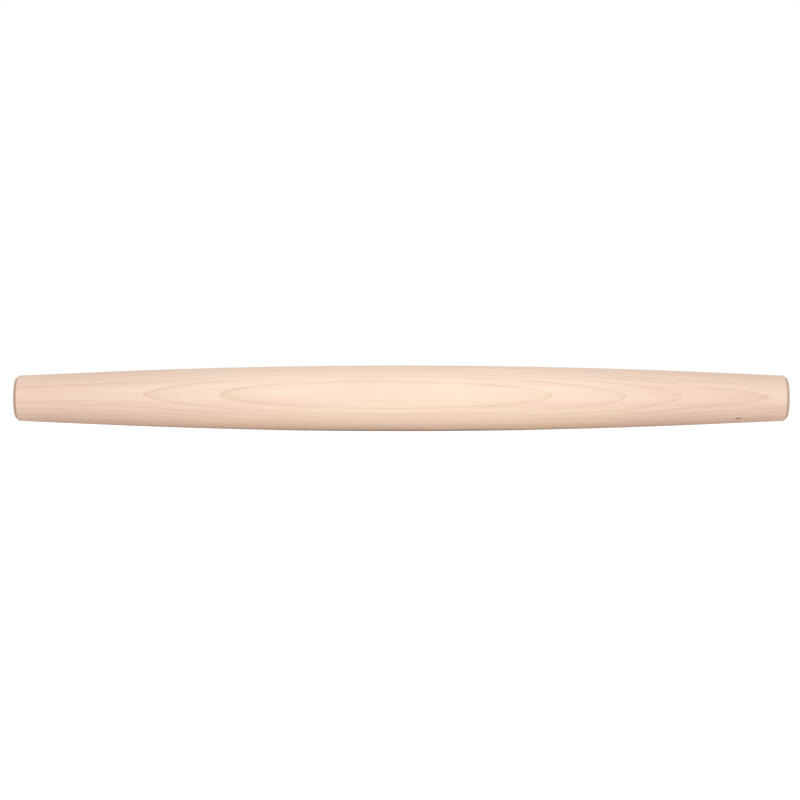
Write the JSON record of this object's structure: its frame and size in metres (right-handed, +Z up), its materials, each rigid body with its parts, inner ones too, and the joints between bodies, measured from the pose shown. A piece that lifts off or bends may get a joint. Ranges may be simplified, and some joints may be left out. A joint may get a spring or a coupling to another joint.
{
  "type": "french rolling pin",
  "caption": "Solid maple rolling pin with a long swelling middle, straight tapered ends and chamfered flat end faces.",
  "frame": {"origin": "middle of the pin's axis, halfway between the two end faces", "axes": "+X along the pin to its right end, +Z up, the pin lying level"},
  "size_m": [0.5206, 0.0444, 0.0444],
  "materials": {
    "maple": "hard maple, turned and finely sanded, bare or lightly oiled, satin"
  },
  "bodies": {
    "root": {"rolling_pin": "maple"}
  },
  "joints": []
}
